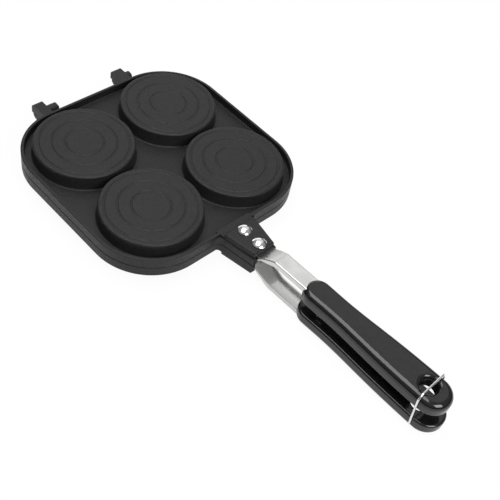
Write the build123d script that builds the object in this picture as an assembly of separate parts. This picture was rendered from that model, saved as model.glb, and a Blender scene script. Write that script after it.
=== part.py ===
from build123d import *
import os

# Double-sided crepe pan: two cast halves, each with four round cups, are hinged together at the
# back. A pressed steel bracket is riveted to each half and carries a moulded handle. A wire bail
# on the lower handle flips over the upper one and holds the pan shut.
# Millimetres. The pan lies in X and Y with the handles towards -Y and the hinges at +Y. While it
# is modelled, z = 0 is the plane where the halves meet and the origin is the pan's centre.

# Cast halves
pan_half_x = 97.3
pan_half_y = 95.1
corner_radius = 52.3
parting_gap = 0.3
rim_height = 9.15
rim_wall = 2.5
rim_foot_radius = 1.2
rim_edge_radius = 0.7
web_top = 2.05
cup_spacing_x = 89.8
cup_spacing_y = 87.6
cup_top = 14.93
cup_top_radius = 42.0
cup_base_radius = 42.9
cup_wall = 2.2
cup_edge_radius = 1.5
cup_foot_radius = 1.3
cup_skirt = 2.0
cup_inner_radius = 2.5
ring_groove_radii = (37.3, 26.9, 15.9)
ring_groove_section = 1.3
ring_groove_depth = 0.5

# Handle boss on each half: a wide lower tier and a plate on top of it
boss_top = 12.1
boss_tier_top = 6.8
boss_root_y = -91.1
boss_step_y = -98.9
boss_tier_end_y = -129.8
boss_plate_end_y = -128.2
boss_tier_half_root = 18.1
boss_tier_half_end = 12.0
boss_plate_half_root = 17.4
boss_plate_half_end = 10.4
boss_draft = 0.4
boss_edge_radius = 1.0
boss_rim_fillet = 7.0
parting_edge_radius = 0.7

# Hinges: one ear of each half side by side, on a steel pin
hinge_y = 106.4
knuckle_radius = 4.4
ear_block_back = 6.4
ear_block_top = 8.8
ear_corner_radius = 3.5
upper_ears = ((-50.2, -41.0), (34.3, 43.8))
lower_ears = ((-40.6, -29.4), (45.2, 51.2))
pin_radius = 1.5
pin_hole_radius = 1.56
pin_blind_wall = 2.5
pin_head_radius = 2.6
pin_head_length = 1.8

# Steel brackets
sheet = 1.2
tongue_top = 6.8
tongue_end_y = -100.5
tongue_half = 8.7
tongue_side_gap = 0.5
bracket_half = 7.4
bracket_top = 16.6
bracket_lip = 11.9
bracket_rise_start_y = -124.5
bracket_rise_end_y = -146.5
bracket_taper_end_y = -150.0
bracket_end_y = -203.0
bracket_bend_radius = 1.1

# Rivets
rivet_ys = {"rear": -104.9, "front": -121.8}
rivet_head_radius = 5.8
rivet_head_side = 1.0
rivet_head_height = 2.3
rivet_shank_radius = 2.5
rivet_tail_radius = 4.0
rivet_tail_height = 1.4

# Handles
handle_yaw = 1.35
yaw_pivot_y = -113.9
handle_gap_half = 5.8
handle_top = 17.7
handle_nose_y = -173.0
upper_handle_end_y = -310.7
lower_handle_end_y = -313.0
nose_half = 11.7
waist_half = 11.5
waist_y = -204.5
mid_half = 13.3
mid_y = -244.0
end_half = 14.7
handle_top_radius = 5.4
handle_lip_radius = 2.0
hang_hole_y = -291.2
hang_hole_radius = 6.9
hang_dish_radius = 3.2
hang_hole_lip_radius = 0.8
handle_screw_y = -192.0
screw_radius = 1.9
screw_head_radius = 3.6
screw_head_height = 2.2
screw_head_recess = 0.4
screw_slot_width = 0.9
screw_slot_depth = 0.9

# Wire bail
wire_radius = 0.8
bail_pivot_y = -295.8
bail_pivot_z = -12.0
bail_bar_y = -292.8
bail_bar_z = 20.5
bail_half = 16.1
bail_corner_radius = 6.0
bail_foot_radius = 1.35
bail_pin_depth = 3.4
bail_hole_radius = 0.87
bail_hole_spare = 0.6


def prism(sketch, z0, z1):
    """A flat outline raised from z0 to z1."""
    return extrude(Plane.XY.offset(z0) * sketch, z1 - z0)


def polygon(points):
    return make_face(Polyline(*points, close=True))


def side_prism(points, x0, x1):
    """A closed outline in Y and Z, raised along X from x0 to x1."""
    outline = Polyline(*[(x0, y, z) for y, z in points], close=True)
    return extrude(make_face(outline), x1 - x0, dir=(1, 0, 0))


def circle_edges(solid, z, radius=None):
    """Round edges of a solid that lie flat at height z, of one radius where it is given."""
    edges = solid.edges().filter_by(GeomType.CIRCLE).filter_by_position(Axis.Z, z - 0.01, z + 0.01)
    if radius is None:
        return edges
    return edges.filter_by(lambda edge: abs(edge.radius - radius) < 0.01)


def flat_edges(solid, z):
    return solid.edges().filter_by_position(Axis.Z, z - 0.01, z + 0.01)


def cup_centres():
    return [(sx * cup_spacing_x / 2, sy * cup_spacing_y / 2) for sx in (-1, 1) for sy in (-1, 1)]


def frustum(r0, r1, z0, z1):
    return Pos(0, 0, (z0 + z1) / 2) * Cone(r0, r1, z1 - z0)


def rod(radius, z0, z1):
    return Pos(0, 0, (z0 + z1) / 2) * Cylinder(radius, z1 - z0)


def cup():
    """The raised outside of one cup, with three shallow ring grooves in its flat base."""
    z0 = parting_gap / 2
    skirt = cup_base_radius + cup_skirt
    corners = [
        (0, z0), (skirt, z0), (skirt, web_top),
        (cup_base_radius, web_top), (cup_top_radius, cup_top), (0, cup_top),
    ]
    side = polygon(corners)
    side = fillet(side.vertices().sort_by_distance(corners[3])[0], cup_foot_radius)
    side = fillet(side.vertices().sort_by_distance(corners[4])[0], cup_edge_radius)
    body = revolve(Rot(90, 0, 0) * side, Axis.Z)
    groove_z = cup_top + ring_groove_section - ring_groove_depth
    for radius in ring_groove_radii:
        body -= Pos(0, 0, groove_z) * Torus(radius, ring_groove_section)
    return body


def cup_hollow():
    """The batter space inside one cup, open at the plane where the halves meet."""
    floor = cup_top - cup_wall
    body = frustum(cup_base_radius - cup_wall, cup_top_radius - cup_wall, -1.0, floor)
    return fillet(circle_edges(body, floor), cup_inner_radius)


def boss_outline(half_root, half_end, end_y):
    """The boss seen from above: it narrows from the rim to its front end."""
    return polygon([(-half_root, boss_root_y), (half_root, boss_root_y), (half_end, end_y), (-half_end, end_y)])


def rim_tray():
    """A thin web with an upright rim round its edge, and the lower tier of the handle boss."""
    z0 = parting_gap / 2
    outline = RectangleRounded(2 * pan_half_x, 2 * pan_half_y, corner_radius)
    plan = outline + boss_outline(boss_tier_half_root, boss_tier_half_end, boss_tier_end_y)
    corners = plan.vertices().filter_by(lambda v: abs(v.Y + pan_half_y) < 0.01)
    corners = corners.filter_by(lambda v: abs(v.X) < boss_tier_half_root)
    plan = fillet(corners, boss_rim_fillet)
    low = prism(plan, z0, boss_tier_top)
    low = fillet(flat_edges(low, z0), parting_edge_radius)
    rim = prism(outline, boss_tier_top - 1, rim_height)
    rim = fillet(flat_edges(rim, rim_height), rim_edge_radius)
    inner = RectangleRounded(
        2 * (pan_half_x - rim_wall), 2 * (pan_half_y - rim_wall), corner_radius - rim_wall
    )
    tray = prism(inner, web_top, cup_top)
    tray = fillet(flat_edges(tray, web_top), rim_foot_radius)
    return low + rim - tray


def boss():
    """The plate that stands a little above the rim and takes the rivets' heads."""
    low = boss_outline(boss_plate_half_root + boss_draft, boss_plate_half_end + boss_draft, boss_plate_end_y)
    high = boss_outline(boss_plate_half_root, boss_plate_half_end, boss_plate_end_y + boss_draft)
    levels = [Plane.XY.offset(boss_tier_top - 1) * low, Plane.XY.offset(boss_top) * high]
    body = loft(levels, ruled=True)
    height = boss_top - rim_height
    body -= Pos(0, boss_step_y + 5, rim_height + height) * Box(60, 10, 2 * height)
    return fillet(flat_edges(body, boss_top), boss_edge_radius)


def tongue_pocket():
    """Recess under the boss, open to the front, where the bracket's tongue lies."""
    y_back = tongue_end_y + tongue_side_gap
    length = y_back - (boss_tier_end_y - 2)
    box = Box(2 * (tongue_half + tongue_side_gap), length, tongue_top + 1)
    return Pos(0, y_back - length / 2, tongue_top / 2 - 0.5) * box


def bracket_way():
    """The space that the bracket takes as it rises out of the boss, and all below it."""
    gap = tongue_side_gap
    return yawed(bracket_block(0.0, tongue_half + gap, bracket_half + gap, -4.0, -4.0))


def ear(x0, x1):
    """A hinge ear of the upper half: a block that runs back from the rim over its knuckle."""
    z0 = parting_gap / 2
    y_back = hinge_y + ear_block_back
    block = side_prism(
        [(pan_half_y - 1, z0), (y_back, z0), (y_back, ear_block_top), (pan_half_y - 1, ear_block_top)], x0, x1
    )
    top_back = block.edges().filter_by(Axis.X).sort_by(Axis.Y)[-2:].sort_by(Axis.Z)[-1]
    block = fillet(top_back, ear_corner_radius)
    knuckle = Pos((x0 + x1) / 2, hinge_y, 0) * Rot(0, 90, 0) * Cylinder(knuckle_radius, x1 - x0)
    return block + knuckle


def flipped(solid):
    """The same shape below the plane where the halves meet."""
    return mirror(solid, about=Plane.XY)


def pin_hole(x0, x1, radius):
    return Pos((x0 + x1) / 2, hinge_y, 0) * Rot(0, 90, 0) * Cylinder(radius, x1 - x0)


def half_without_ears():
    body = rim_tray() + boss()
    for x, y in cup_centres():
        body += Pos(x, y, 0) * cup()
    for x, y in cup_centres():
        body -= Pos(x, y, 0) * cup_hollow()
    body -= tongue_pocket()
    body -= bracket_way()
    for y in rivet_ys.values():
        body -= Pos(0, y, boss_top / 2) * Cylinder(rivet_shank_radius, 2 * boss_top)
    return body


def upper_pan(half):
    body = half
    for x0, x1 in upper_ears:
        body += ear(x0, x1)
        body -= pin_hole(x0 + pin_blind_wall, x1 + 1, pin_hole_radius)
    return body


def lower_pan(half):
    body = flipped(half)
    for x0, x1 in lower_ears:
        body += flipped(ear(x0, x1))
        body -= pin_hole(x0 - 1, x1 + 1, pin_radius)
    return body


def hinge_pin(upper_ear, lower_ear):
    """A steel pin pressed through the lower ear, its plain end turning in the upper ear."""
    x0 = upper_ear[0] + pin_blind_wall + 0.5
    x1 = lower_ear[1]
    shank = pin_hole(x0, x1, pin_radius)
    shank = chamfer(shank.edges().sort_by(Axis.X)[0], 0.3)
    head = pin_hole(x1, x1 + pin_head_length, pin_head_radius)
    head = fillet(head.edges().sort_by(Axis.X)[-1], 0.9)
    return shank + head


def yawed(solid):
    """The handles run a little off the pan's centre line, as the photographed pair do."""
    turn = Pos(0, yaw_pivot_y, 0) * Rot(0, 0, handle_yaw) * Pos(0, -yaw_pivot_y, 0)
    return turn * solid


def bracket_profile(drop):
    """The top line of the bracket seen from the side, lowered by a sheet's thickness or not."""
    top, high = tongue_top - drop, bracket_top - drop
    flat = Line((0, tongue_end_y, top), (0, bracket_rise_start_y, top))
    rise = Spline(
        (0, bracket_rise_start_y, top), (0, bracket_rise_end_y, high),
        tangents=[(0, -1, 0), (0, -1, 0)], tangent_scalars=[0.7, 0.7],
    )
    straight = Line((0, bracket_rise_end_y, high), (0, bracket_end_y, high))
    return flat, rise, straight


def bracket_block(drop, half_start, half_end, low_tongue, low_lip):
    """The bracket's outer or inner block: its side outline cut to its tapering width."""
    flat, rise, straight = bracket_profile(drop)
    y_end = bracket_end_y
    under = Line((0, y_end, bracket_top - drop), (0, y_end, low_lip))
    lip = Line((0, y_end, low_lip), (0, bracket_rise_end_y - 2, low_lip))
    fall = Spline(
        (0, bracket_rise_end_y - 2, low_lip), (0, bracket_rise_start_y - 1, low_tongue),
        tangents=[(0, 1, 0), (0, 1, 0)], tangent_scalars=[0.7, 0.7],
    )
    back = Line((0, bracket_rise_start_y - 1, low_tongue), (0, tongue_end_y, low_tongue))
    close = Line((0, tongue_end_y, low_tongue), (0, tongue_end_y, tongue_top - drop))
    side = make_face(Wire([flat, rise, straight, under, lip, fall, back, close]))
    slab = extrude(side, 20, both=True, dir=(1, 0, 0))
    plan = polygon([
        (-half_start, tongue_end_y + 2), (half_start, tongue_end_y + 2), (half_start, bracket_rise_start_y),
        (half_end, bracket_taper_end_y), (half_end, y_end - 1), (-half_end, y_end - 1),
        (-half_end, bracket_taper_end_y), (-half_start, bracket_rise_start_y),
    ])
    return slab & prism(plan, -5, 40)


def bracket():
    """Pressed sheet: a flat tongue that rises into a shallow channel, its lips facing inwards."""
    outer = bracket_block(0.0, tongue_half, bracket_half, tongue_top - sheet, bracket_lip)
    bends = outer.edges().filter_by(lambda e: abs(abs(e.center().X) - bracket_half) < 0.01)
    bends = bends.filter_by(lambda e: abs(e.center().Z - bracket_top) < 0.01)
    outer = fillet(bends, bracket_bend_radius)
    inner = bracket_block(sheet, tongue_half - sheet, bracket_half - sheet, -4.0, -4.0)
    body = outer - inner
    y_front, y_back = bracket_rise_start_y - 0.5, tongue_end_y
    tongue_z = (tongue_top + tongue_top - sheet) / 2
    tongue = Pos(0, (y_front + y_back) / 2, tongue_z) * Box(2 * tongue_half, y_back - y_front, sheet)
    body += tongue
    return body - Pos(0, handle_screw_y, bracket_top) * Cylinder(screw_radius, 10)


def drilled(steel):
    """The bracket in its place under the boss, with its two rivet holes."""
    body = yawed(steel)
    for y in rivet_ys.values():
        body -= Pos(0, y, tongue_top) * Cylinder(rivet_shank_radius, 10)
    return body


def rivet(y):
    """A domed head on the boss, a shank through boss and tongue, and a flattened tail below."""
    base = rivet_head_radius
    dome_z = boss_top + rivet_head_side
    sphere = (base ** 2 + rivet_head_height ** 2) / (2 * rivet_head_height)
    dome = Pos(0, 0, dome_z + rivet_head_height - sphere) * Sphere(sphere)
    dome &= rod(2 * base, dome_z, dome_z + 2 * rivet_head_height)
    head = dome + rod(base, boss_top, dome_z)
    tail_top = tongue_top - sheet
    shank = rod(rivet_shank_radius, tail_top - 0.2, boss_top + 0.2)
    tail = frustum(rivet_tail_radius * 0.8, rivet_tail_radius, tail_top - rivet_tail_height, tail_top)
    return Pos(0, y, 0) * (head + shank + tail)


def handle_plan(end_y):
    """The handle seen from above: a round nose, a slight waist and a wider round end."""
    nose_centre_y = handle_nose_y - nose_half
    end_centre_y = end_y + end_half
    right = Spline(
        (nose_half, nose_centre_y), (waist_half, waist_y), (mid_half, mid_y), (end_half, end_centre_y),
        tangents=[(0, -1), (0, -1)],
    )
    nose = ThreePointArc((-nose_half, nose_centre_y), (0, handle_nose_y), (nose_half, nose_centre_y))
    end = ThreePointArc((end_half, end_centre_y), (0, end_y), (-end_half, end_centre_y))
    left = mirror(right, about=Plane.YZ).edge()
    return make_face(Wire([nose, right, end, left]))


def handle_blank(end_y):
    body = prism(handle_plan(end_y), handle_gap_half, handle_top)
    body = fillet(flat_edges(body, handle_top), handle_top_radius)
    body = fillet(flat_edges(body, handle_gap_half), handle_lip_radius)
    height = handle_top - handle_gap_half
    hole = Pos(0, hang_hole_y, handle_gap_half + height / 2) * Cylinder(hang_hole_radius, height + 2)
    body -= hole
    body = fillet(circle_edges(body, handle_top, hang_hole_radius), hang_dish_radius)
    return fillet(circle_edges(body, handle_gap_half, hang_hole_radius), hang_hole_lip_radius)


def handle(steel, end_y):
    """One moulded handle, its nose moulded round the bracket, with the hanging hole near its end."""
    body = handle_blank(end_y)
    head_top = handle_gap_half + screw_head_recess + screw_head_height
    body -= Pos(0, handle_screw_y, 0) * rod(screw_head_radius, 0, head_top)
    body -= Pos(0, handle_screw_y, 0) * rod(screw_radius, 0, bracket_top)
    return body - steel


def handle_screw():
    """A slotted screw in the handle's inner face, threaded into the bracket."""
    z0 = handle_gap_half + screw_head_recess
    z1 = z0 + screw_head_height
    head = rod(screw_head_radius, z0, z1)
    head = fillet(circle_edges(head, z0), 0.6)
    head -= Pos(0, 0, z0) * Box(2 * screw_head_radius + 1, screw_slot_width, 2 * screw_slot_depth)
    shank = rod(screw_radius, z1 - 0.2, bracket_top)
    return Pos(0, handle_screw_y, 0) * (head + shank)


def lower_handle(grip):
    """The handle turned over, with a side hole for each foot of the bail."""
    body = flipped(grip)
    x0 = bail_half - wire_radius - bail_pin_depth - bail_hole_spare
    for side in (-1, 1):
        hole = Rot(0, 90, 0) * Cylinder(bail_hole_radius, bail_half - x0)
        body -= Pos(side * (x0 + bail_half) / 2, bail_pivot_y, bail_pivot_z) * hole
    return body


def latch_bail():
    """Bent wire: two feet in the handle's sides, two legs and a bar across the upper handle."""
    foot_x = bail_half - wire_radius - bail_pin_depth
    points = [
        (-foot_x, bail_pivot_y, bail_pivot_z), (-bail_half, bail_pivot_y, bail_pivot_z),
        (-bail_half, bail_bar_y, bail_bar_z), (bail_half, bail_bar_y, bail_bar_z),
        (bail_half, bail_pivot_y, bail_pivot_z), (foot_x, bail_pivot_y, bail_pivot_z),
    ]
    radii = [bail_foot_radius, bail_corner_radius, bail_corner_radius, bail_foot_radius]
    path = FilletPolyline(*points, radius=radii)
    section = Plane(origin=path @ 0, z_dir=path % 0) * Circle(wire_radius)
    return sweep(section, path)


def build():
    """Every piece in its place, with the frame at the middle of the whole object's base."""
    half = half_without_ears()
    steel = bracket()
    screw = handle_screw()
    parts = {
        "upper_pan": upper_pan(half),
        "lower_pan": lower_pan(half),
        "left_hinge_pin": hinge_pin(upper_ears[0], lower_ears[0]),
        "right_hinge_pin": hinge_pin(upper_ears[1], lower_ears[1]),
        "upper_bracket": drilled(steel),
        "lower_bracket": flipped(drilled(steel)),
        "upper_handle": yawed(handle(steel, upper_handle_end_y)),
        "lower_handle": yawed(lower_handle(handle(steel, lower_handle_end_y))),
        "upper_handle_screw": yawed(screw),
        "lower_handle_screw": yawed(flipped(screw)),
        "latch_bail": yawed(latch_bail()),
    }
    for place, y in rivet_ys.items():
        parts[f"upper_{place}_rivet"] = rivet(y)
        parts[f"lower_{place}_rivet"] = flipped(rivet(y))
    box = Compound(list(parts.values())).bounding_box()
    shift = Vector(0, -(box.min.Y + box.max.Y) / 2, -box.min.Z)
    return {name: Pos(shift) * solid for name, solid in parts.items()}, shift


def main():
    os.makedirs("parts", exist_ok=True)
    parts, shift = build()
    print("pan centre and parting plane in the frame:", tuple(round(v, 4) for v in shift))
    for name, solid in parts.items():
        solid.label = name
        export_step(solid, f"parts/{name}.step")
        print(name, len(solid.solids()), round(solid.volume, 1))


main()
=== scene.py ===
from math import pi

import bpy
from mathutils import Matrix, Vector


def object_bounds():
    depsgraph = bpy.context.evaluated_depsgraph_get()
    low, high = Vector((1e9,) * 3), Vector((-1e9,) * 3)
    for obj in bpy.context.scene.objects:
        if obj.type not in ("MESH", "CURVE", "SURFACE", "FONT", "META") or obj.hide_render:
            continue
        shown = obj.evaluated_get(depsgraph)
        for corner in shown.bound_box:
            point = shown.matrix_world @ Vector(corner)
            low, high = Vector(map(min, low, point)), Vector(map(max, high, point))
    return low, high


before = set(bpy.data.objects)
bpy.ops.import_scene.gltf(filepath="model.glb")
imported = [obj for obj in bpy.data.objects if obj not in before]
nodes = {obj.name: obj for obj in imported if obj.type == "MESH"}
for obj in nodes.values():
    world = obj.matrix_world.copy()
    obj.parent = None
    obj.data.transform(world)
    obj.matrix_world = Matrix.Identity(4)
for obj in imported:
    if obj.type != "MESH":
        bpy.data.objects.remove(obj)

cad_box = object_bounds()

# Double-sided crepe pan in a plain white studio. Lengths are in metres, in the frame of the CAD.

# Camera, from a fit of the photographed cups and handles (lens and sensor in millimetres)
camera_place = (-0.35427, -0.278396, 0.52194)
camera_right = Vector((0.7198, -0.6779, 0.1497))
camera_back = Vector((-0.5265, -0.3925, 0.7541))
camera_lens = 60.68
sensor_width = 36.0
clip_start = 0.01

# Floor, just below the pan. The camera and reflections see a part of it as plain white.
floor_half = 6.0
floor_drop = 0.0002
floor_color = 0.8
floor_white_to_camera = 0.94
floor_white_to_mirrors = 0.5

# Dome that lights the pan: darker near the horizon, paler overhead (heights from 0 to 1)
dome_low_height = 0.15
dome_low_color = 0.04
dome_high_height = 0.75
dome_high_color = 0.38

# Softboxes: name, direction from the pan, distance, size in X and Y, radiance, seen in reflections
softboxes = (
    ("key_softbox", (0.53, 0.39, 0.75), 1.6, 1.6, 1.6, 0.5, True),
    ("streak_softbox", (-0.08, 0.18, 1.0), 1.5, 1.2, 1.0, 4.2, True),
    ("front_softbox", (-0.1, -0.75, 0.65), 1.5, 0.7, 0.75, 8.0, True),
    ("back_panel", (0.5, 0.8, 0.22), 2.2, 2.2, 0.8, 1.2, True),
    ("fill_softbox", (-0.5, -0.5, 0.7), 1.8, 1.4, 1.4, 0.6, False),
)

# Noise values where a texture reaches the low and the high end of its range
noise_low = 0.3
noise_high = 0.7

# Pan coating. Here and below, noise scales are per metre and bump heights are in metres.
coating_color = (0.014, 0.014, 0.014)
coating_color_range = ((0.010, 0.010, 0.010), (0.020, 0.020, 0.020))
coating_roughness = 0.45
coating_roughness_range = (0.34, 0.54)
coating_specular = 0.23
coating_mottle_scale = 900.0
coating_gloss_scale = 380.0
coating_grain_scale = 1400.0
coating_grain_height = 0.00009

# Handle plastic
plastic_color = (0.006, 0.006, 0.0065)
plastic_color_range = ((0.005, 0.005, 0.0052), (0.009, 0.009, 0.0095))
plastic_roughness = 0.1
plastic_roughness_range = (0.07, 0.13)
plastic_tint_scale = 300.0
plastic_gloss_scale = 120.0
plastic_wave_scale = 45.0
plastic_wave_height = 0.00003

# Bracket sheet, brushed along Y
sheet_color = (0.61, 0.61, 0.6)
sheet_color_range = ((0.56, 0.56, 0.55), (0.66, 0.66, 0.65))
sheet_roughness = 0.32
sheet_roughness_range = (0.28, 0.4)
sheet_brush_scale = 900.0
sheet_brush_stretch = (1.0, 0.03, 1.0)
sheet_brush_height = 0.00001
sheet_gloss_scale = 90.0

# Plated steel of the rivets, screws, pins and wire
rivet_brightness = 0.82
rivet_roughness_range = (0.08, 0.18)
wire_brightness = 0.78
wire_roughness_range = (0.15, 0.3)
plated_roughness = 0.15
plated_dark_share = 0.9
plated_tint_scale = 400.0
plated_gloss_scale = 250.0


def add_camera():
    data = bpy.data.cameras.new("camera")
    data.lens = camera_lens
    data.sensor_width = sensor_width
    data.clip_start = clip_start
    back = camera_back.normalized()
    right = (camera_right - back * camera_right.dot(back)).normalized()
    up = back.cross(right)
    turn = Matrix((right, up, back)).transposed().to_4x4()
    camera = bpy.data.objects.new("camera", data)
    camera.matrix_world = Matrix.Translation(camera_place) @ turn
    bpy.context.scene.collection.objects.link(camera)
    bpy.context.scene.camera = camera


def grey(value):
    return (value, value, value)


class Shader:
    """A short way to build one material's node tree."""

    def __init__(self, name):
        self.material = bpy.data.materials.new(name)
        self.material.use_nodes = True
        self.tree = self.material.node_tree
        self.tree.nodes.clear()
        self.out = self.add("ShaderNodeOutputMaterial")
        self.coords = self.add("ShaderNodeTexCoord")

    def add(self, kind):
        return self.tree.nodes.new(kind)

    def link(self, source, target):
        self.tree.links.new(source, target)

    def principled(self, color, roughness, **sockets):
        """The surface; the plain colour and roughness are for viewers without these textures."""
        node = self.add("ShaderNodeBsdfPrincipled")
        node.inputs["Base Color"].default_value = (*color, 1.0)
        node.inputs["Roughness"].default_value = roughness
        for name, value in sockets.items():
            node.inputs[name.replace("_", " ")].default_value = value
        self.link(node.outputs["BSDF"], self.out.inputs["Surface"])
        return node

    def noise(self, scale, detail, stretch=(1.0, 1.0, 1.0)):
        mapping = self.add("ShaderNodeMapping")
        mapping.inputs["Scale"].default_value = stretch
        self.link(self.coords.outputs["Object"], mapping.inputs["Vector"])
        node = self.add("ShaderNodeTexNoise")
        node.inputs["Scale"].default_value = scale
        node.inputs["Detail"].default_value = detail
        self.link(mapping.outputs["Vector"], node.inputs["Vector"])
        return node.outputs["Fac"]

    def ramp(self, value, low, high, target):
        """Turns a noise into colours from low to high on one socket."""
        node = self.add("ShaderNodeValToRGB")
        first, last = node.color_ramp.elements
        first.position, last.position = noise_low, noise_high
        first.color = (*low, 1.0)
        last.color = (*high, 1.0)
        self.link(value, node.inputs["Fac"])
        self.link(node.outputs["Color"], target)

    def color_ramp(self, value, colors, surface):
        self.ramp(value, *colors, surface.inputs["Base Color"])

    def roughness_ramp(self, value, levels, surface):
        smooth, rough = levels
        self.ramp(value, grey(smooth), grey(rough), surface.inputs["Roughness"])

    def bump(self, height, distance, surface):
        node = self.add("ShaderNodeBump")
        node.inputs["Distance"].default_value = distance
        self.link(height, node.inputs["Height"])
        self.link(node.outputs["Normal"], surface.inputs["Normal"])


def coating_material():
    """Matte non-stick coating on cast metal: fine mottling and a slight cast texture."""
    shader = Shader("pan_coating")
    surface = shader.principled(
        coating_color, coating_roughness, Specular_IOR_Level=coating_specular
    )
    shader.color_ramp(shader.noise(coating_mottle_scale, detail=3.0), coating_color_range, surface)
    gloss = shader.noise(coating_gloss_scale, detail=4.0)
    shader.roughness_ramp(gloss, coating_roughness_range, surface)
    shader.bump(shader.noise(coating_grain_scale, detail=2.0), coating_grain_height, surface)
    return shader.material


def handle_material():
    """Glossy black moulded plastic with very slight waviness."""
    shader = Shader("handle_plastic")
    surface = shader.principled(plastic_color, plastic_roughness)
    shader.color_ramp(shader.noise(plastic_tint_scale, detail=4.0), plastic_color_range, surface)
    gloss = shader.noise(plastic_gloss_scale, detail=3.0)
    shader.roughness_ramp(gloss, plastic_roughness_range, surface)
    shader.bump(shader.noise(plastic_wave_scale, detail=1.0), plastic_wave_height, surface)
    return shader.material


def bracket_material():
    """Satin stainless sheet with fine lines along the strip."""
    shader = Shader("bracket_steel")
    surface = shader.principled(sheet_color, sheet_roughness, Metallic=1.0)
    brushing = shader.noise(sheet_brush_scale, detail=3.0, stretch=sheet_brush_stretch)
    shader.color_ramp(brushing, sheet_color_range, surface)
    gloss = shader.noise(sheet_gloss_scale, detail=3.0)
    shader.roughness_ramp(gloss, sheet_roughness_range, surface)
    shader.bump(brushing, sheet_brush_height, surface)
    return shader.material


def plated_material(name, brightness, roughness_range):
    """Bright plated steel with faint smears."""
    shader = Shader(name)
    surface = shader.principled(grey(brightness), plated_roughness, Metallic=1.0)
    tint = shader.noise(plated_tint_scale, detail=3.0)
    shader.color_ramp(tint, (grey(plated_dark_share * brightness), grey(brightness)), surface)
    gloss = shader.noise(plated_gloss_scale, detail=3.0)
    shader.roughness_ramp(gloss, roughness_range, surface)
    return shader.material


def dress(name, material):
    mesh = nodes[name].data
    mesh.materials.clear()
    mesh.materials.append(material)


def calculate(tree, operation, first, second):
    """One math node on an output and either another output or a number."""
    node = tree.nodes.new("ShaderNodeMath")
    node.operation = operation
    tree.links.new(first, node.inputs[0])
    if isinstance(second, float):
        node.inputs[1].default_value = second
    else:
        tree.links.new(second, node.inputs[1])
    return node.outputs[0]


def white_share(tree):
    """How much plain white each kind of ray sees in the floor; diffuse light sees none."""
    rays = tree.nodes.new("ShaderNodeLightPath").outputs
    to_camera = calculate(tree, "MULTIPLY", rays["Is Camera Ray"], floor_white_to_camera)
    mirrors = calculate(tree, "MAXIMUM", rays["Is Glossy Ray"], rays["Is Transmission Ray"])
    to_mirrors = calculate(tree, "MULTIPLY", mirrors, floor_white_to_mirrors)
    return calculate(tree, "MAXIMUM", to_camera, to_mirrors)


def add_floor():
    """A white floor whose colour carries the background and which keeps the pan's soft shadow."""
    mesh = bpy.data.meshes.new("floor")
    corner_signs = ((-1, -1), (1, -1), (1, 1), (-1, 1))
    corners = [(x * floor_half, y * floor_half, 0.0) for x, y in corner_signs]
    mesh.from_pydata(corners, [], [(0, 1, 2, 3)])
    floor = bpy.data.objects.new("floor", mesh)
    floor.location.z = cad_box[0][2] - floor_drop
    bpy.context.scene.collection.objects.link(floor)
    shader = Shader("floor_white")
    diffuse = shader.add("ShaderNodeBsdfDiffuse")
    diffuse.inputs["Color"].default_value = (*grey(floor_color), 1.0)
    glow = shader.add("ShaderNodeEmission")
    glow.inputs["Color"].default_value = (*grey(1.0), 1.0)
    glow.inputs["Strength"].default_value = 1.0
    mix = shader.add("ShaderNodeMixShader")
    shader.link(white_share(shader.tree), mix.inputs["Fac"])
    shader.link(diffuse.outputs["BSDF"], mix.inputs[1])
    shader.link(glow.outputs["Emission"], mix.inputs[2])
    shader.link(mix.outputs["Shader"], shader.out.inputs["Surface"])
    mesh.materials.append(shader.material)


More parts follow.
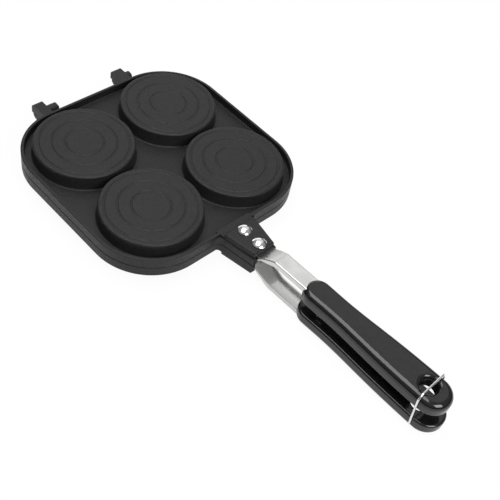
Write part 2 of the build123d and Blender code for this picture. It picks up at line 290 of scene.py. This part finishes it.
def add_world():
    """White to the camera, and a soft dome to everything else."""
    world = bpy.data.worlds.new("studio")
    bpy.context.scene.world = world
    world.use_nodes = True
    tree = world.node_tree
    tree.nodes.clear()
    out = tree.nodes.new("ShaderNodeOutputWorld")
    coords = tree.nodes.new("ShaderNodeTexCoord")
    split = tree.nodes.new("ShaderNodeSeparateXYZ")
    ramp = tree.nodes.new("ShaderNodeValToRGB")
    low, high = ramp.color_ramp.elements
    low.position, high.position = dome_low_height, dome_high_height
    low.color = (*grey(dome_low_color), 1.0)
    high.color = (*grey(dome_high_color), 1.0)
    dome = tree.nodes.new("ShaderNodeBackground")
    backdrop = tree.nodes.new("ShaderNodeBackground")
    backdrop.inputs["Color"].default_value = (*grey(1.0), 1.0)
    rays = tree.nodes.new("ShaderNodeLightPath")
    mix = tree.nodes.new("ShaderNodeMixShader")
    tree.links.new(coords.outputs["Generated"], split.inputs[0])
    tree.links.new(split.outputs["Z"], ramp.inputs["Fac"])
    tree.links.new(ramp.outputs["Color"], dome.inputs["Color"])
    tree.links.new(rays.outputs["Is Camera Ray"], mix.inputs["Fac"])
    tree.links.new(dome.outputs["Background"], mix.inputs[1])
    tree.links.new(backdrop.outputs["Background"], mix.inputs[2])
    tree.links.new(mix.outputs["Shader"], out.inputs["Surface"])


def add_softbox(name, direction, distance, size_x, size_y, radiance, mirrored):
    data = bpy.data.lights.new(name, "AREA")
    data.shape = "RECTANGLE"
    data.size, data.size_y = size_x, size_y
    data.energy = radiance * pi * size_x * size_y
    lamp = bpy.data.objects.new(name, data)
    way = Vector(direction).normalized()
    lamp.location = way * distance
    lamp.rotation_euler = way.to_track_quat("Z", "Y").to_euler()
    lamp.visible_glossy = mirrored
    bpy.context.scene.collection.objects.link(lamp)


add_camera()
add_floor()
add_world()
for softbox in softboxes:
    add_softbox(*softbox)

coating = coating_material()
plastic = handle_material()
sheet_steel = bracket_material()
rivet_steel = plated_material("bright_steel", rivet_brightness, rivet_roughness_range)
wire_steel = plated_material("wire_steel", wire_brightness, wire_roughness_range)
for node_name in nodes:
    if node_name.endswith("_pan"):
        dress(node_name, coating)
    elif node_name.endswith("_handle"):
        dress(node_name, plastic)
    elif node_name.endswith("_bracket"):
        dress(node_name, sheet_steel)
    elif node_name == "latch_bail":
        dress(node_name, wire_steel)
    else:
        dress(node_name, rivet_steel)

view = bpy.context.scene.view_settings
view.view_transform = "Standard"
